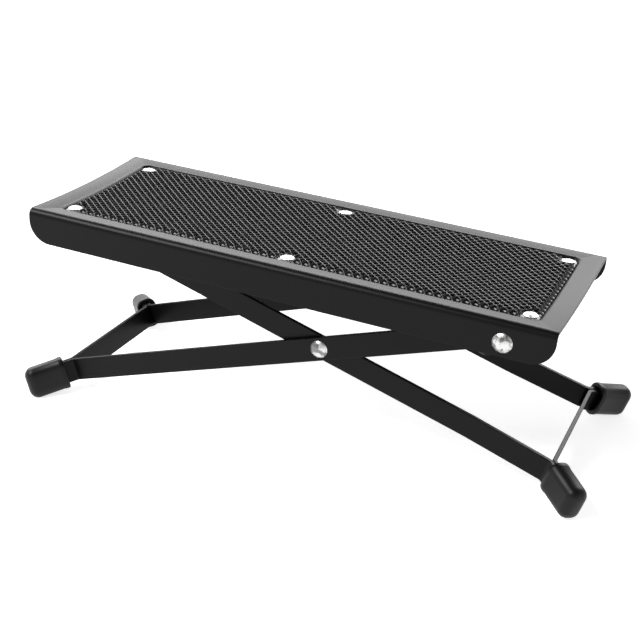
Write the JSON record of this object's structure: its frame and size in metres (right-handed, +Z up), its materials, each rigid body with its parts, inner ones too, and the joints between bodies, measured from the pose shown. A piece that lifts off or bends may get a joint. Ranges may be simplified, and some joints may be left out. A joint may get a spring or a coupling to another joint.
{
  "type": "folding guitar footrest",
  "caption": "Folding footrest for a seated guitarist: a rubber-faced steel tread on two crossed U-frames, set higher or lower by a rod in toothed racks.",
  "frame": {"origin": "centre of the bounding box at the floor, below the middle of the tread", "axes": "+X along the tread towards its low, hinged end; +Y from the front side in the picture to the back; +Z up"},
  "size_m": [0.3146, 0.1242, 0.1099],
  "materials": {
    "tread_coating": "satin black powder coat over sheet steel",
    "bar_coating": "satin black powder coat over flat bar",
    "mat_rubber": "black rubber with a fine moulded diamond grid",
    "foot_rubber": "soft black rubber, slightly shiny",
    "rivet_nickel": "bright nickel plating",
    "zinc_steel": "plain zinc-plated steel"
  },
  "bodies": {
    "tread": {"footplate": "tread_coating", "pivot_rivet_back": "rivet_nickel", "pivot_rivet_front": "rivet_nickel", "pivot_washer_back": "zinc_steel", "pivot_washer_front": "zinc_steel", "rack_back": "bar_coating", "rack_front": "bar_coating", "rivet_washer_left_back": "zinc_steel", "rivet_washer_left_front": "zinc_steel", "rivet_washer_middle_back": "zinc_steel", "rivet_washer_middle_front": "zinc_steel", "rivet_washer_right_back": "zinc_steel", "rivet_washer_right_front": "zinc_steel", "tread_mat": "mat_rubber", "tread_rivet_left_back": "rivet_nickel", "tread_rivet_left_front": "rivet_nickel", "tread_rivet_middle_back": "rivet_nickel", "tread_rivet_middle_front": "rivet_nickel", "tread_rivet_right_back": "rivet_nickel", "tread_rivet_right_front": "rivet_nickel"},
    "outer": {"foot_left_back": "foot_rubber", "foot_left_front": "foot_rubber", "outer_frame": "bar_coating", "scissor_rivet_back": "rivet_nickel", "scissor_rivet_front": "rivet_nickel", "scissor_washer_back": "zinc_steel", "scissor_washer_front": "zinc_steel"},
    "inner": {"cross_rod": "zinc_steel", "foot_right_back": "foot_rubber", "foot_right_front": "foot_rubber", "inner_frame": "bar_coating", "rod_collar_back": "zinc_steel", "rod_collar_front": "zinc_steel"}
  },
  "joints": [
    {"name": "outer_hinge", "type": "hinge", "parent": "tread", "child": "outer", "pos_m": [0.11193, 0, 0.08215], "axis": [0, -1, 0], "range_deg": [-15, 14.9]},
    {"name": "inner_hinge", "type": "hinge", "parent": "outer", "child": "inner", "pos_m": [0.01511, 0, 0.05485], "axis": [0, -1, 0], "range_deg": [-28.9, 29]}
  ],
  "couplings": [
    {"joint": "inner_hinge", "follows": "outer_hinge", "ratio": -1.925}
  ]
}
